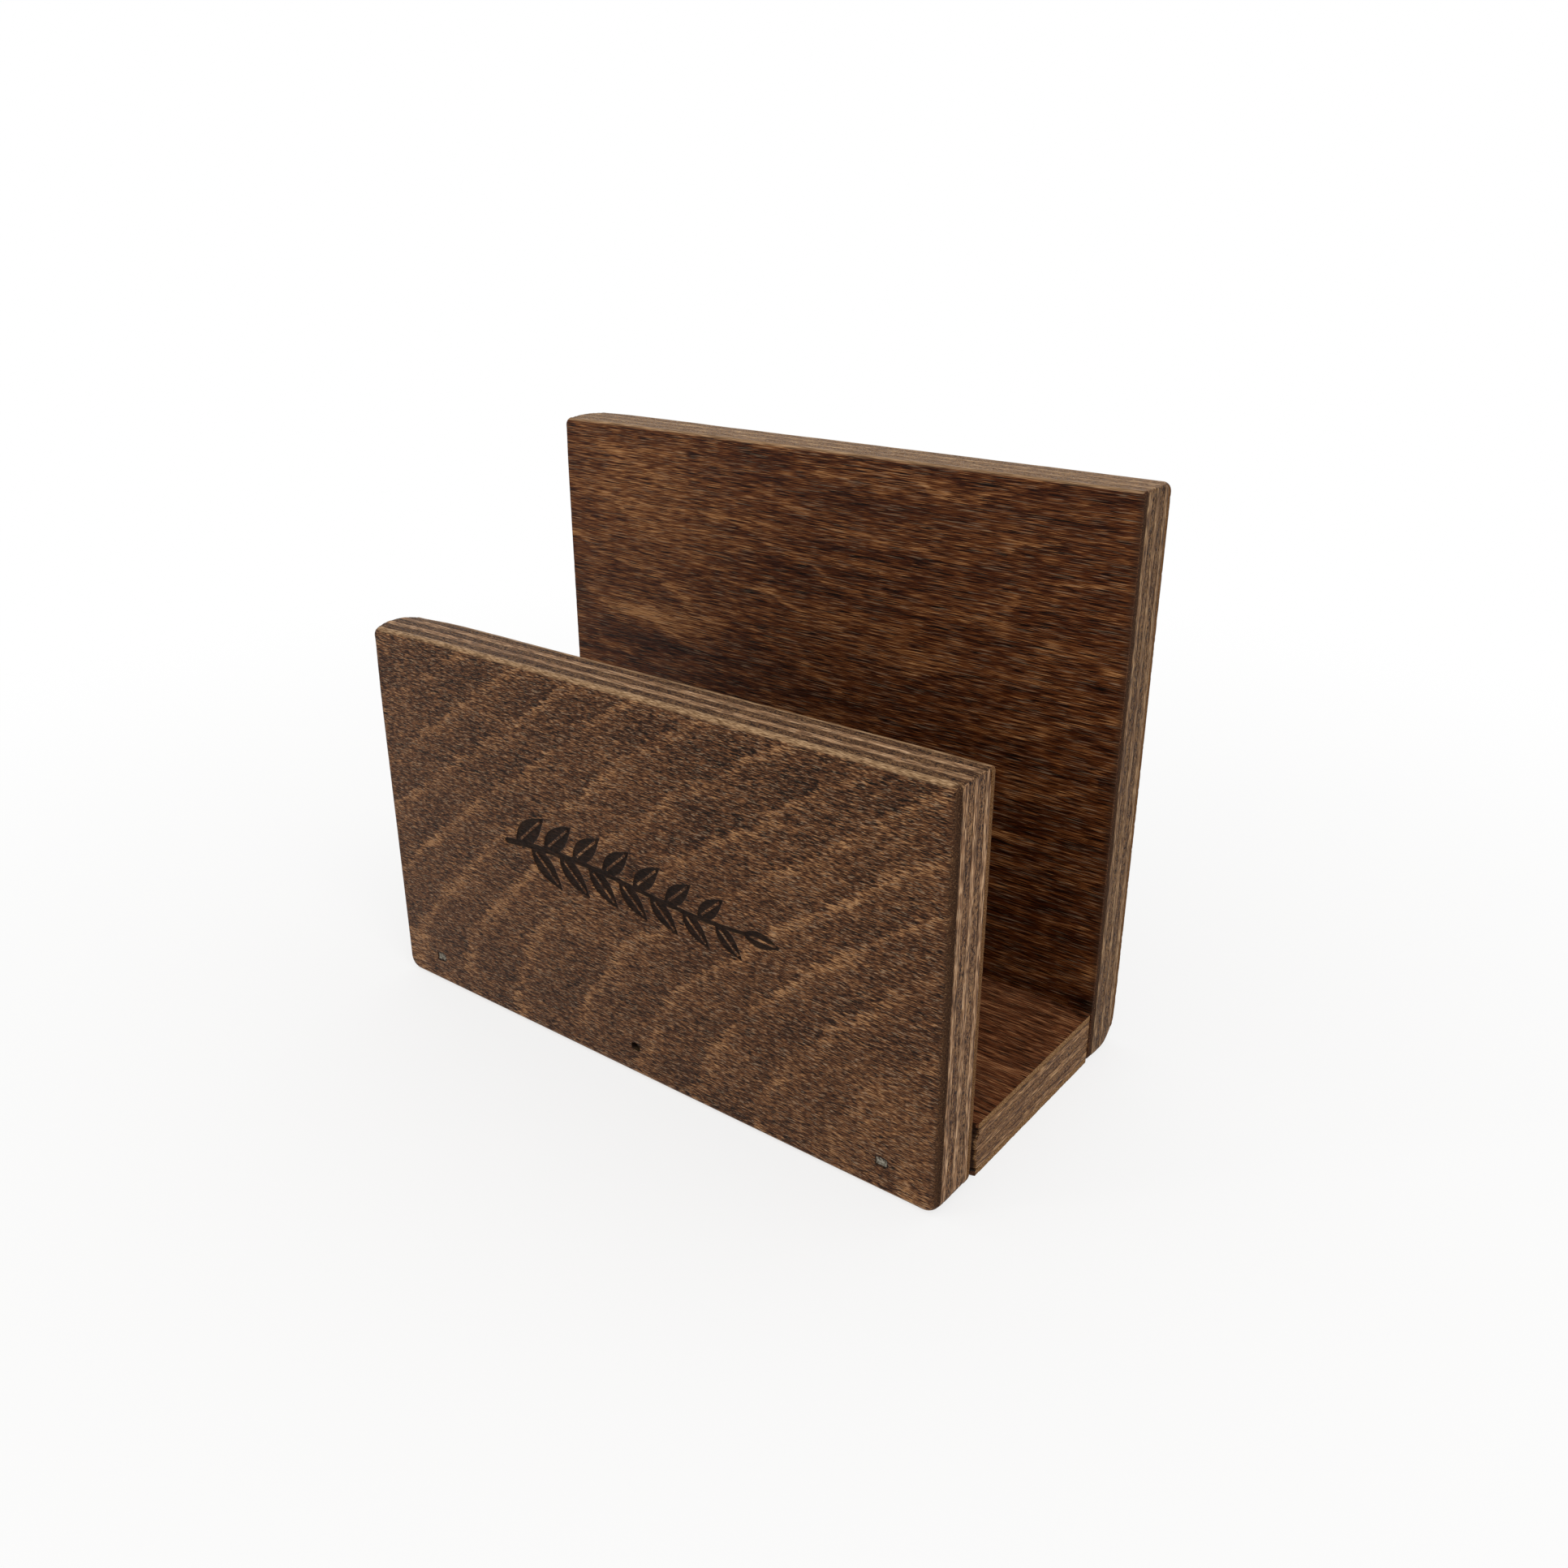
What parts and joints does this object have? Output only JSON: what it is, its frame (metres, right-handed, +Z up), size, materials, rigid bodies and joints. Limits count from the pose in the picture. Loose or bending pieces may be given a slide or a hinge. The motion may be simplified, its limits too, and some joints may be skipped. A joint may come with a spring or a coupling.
{
  "type": "napkin holder",
  "caption": "Open-sided tabletop napkin holder: a low front panel and a taller back panel of stained plywood, nailed to a base board, keep a stack of napkins upright.",
  "frame": {"origin": "on the table, under the middle of the holder", "axes": "+X along the panels' width, +Y from the low front panel to the tall back panel, +Z up"},
  "size_m": [0.12, 0.0598, 0.0992],
  "materials": {
    "face_veneer": "walnut-brown stain under a thin satin lacquer, grain along the width",
    "longband_veneer": "stained inner veneer with its grain along the width",
    "crossband_veneer": "stained inner veneer with its grain across the width",
    "brad_steel": "bare galvanised brad wire, heads set below the surface"
  },
  "bodies": {
    "root": {"front_panel_face": "face_veneer", "front_panel_face_crossband": "crossband_veneer", "front_panel_face_longband": "longband_veneer", "front_panel_core": "crossband_veneer", "front_panel_back_longband": "longband_veneer", "front_panel_back_crossband": "crossband_veneer", "front_panel_back": "face_veneer", "back_panel_face": "face_veneer", "back_panel_face_crossband": "crossband_veneer", "back_panel_face_longband": "longband_veneer", "back_panel_core": "crossband_veneer", "back_panel_back_longband": "longband_veneer", "back_panel_back_crossband": "crossband_veneer", "back_panel_back": "face_veneer", "base_board_face": "face_veneer", "base_board_face_crossband": "crossband_veneer", "base_board_face_longband": "longband_veneer", "base_board_core": "crossband_veneer", "base_board_back_longband": "longband_veneer", "base_board_back_crossband": "crossband_veneer", "base_board_back": "face_veneer", "front_brads": "brad_steel", "back_brads": "brad_steel"}
  },
  "joints": []
}
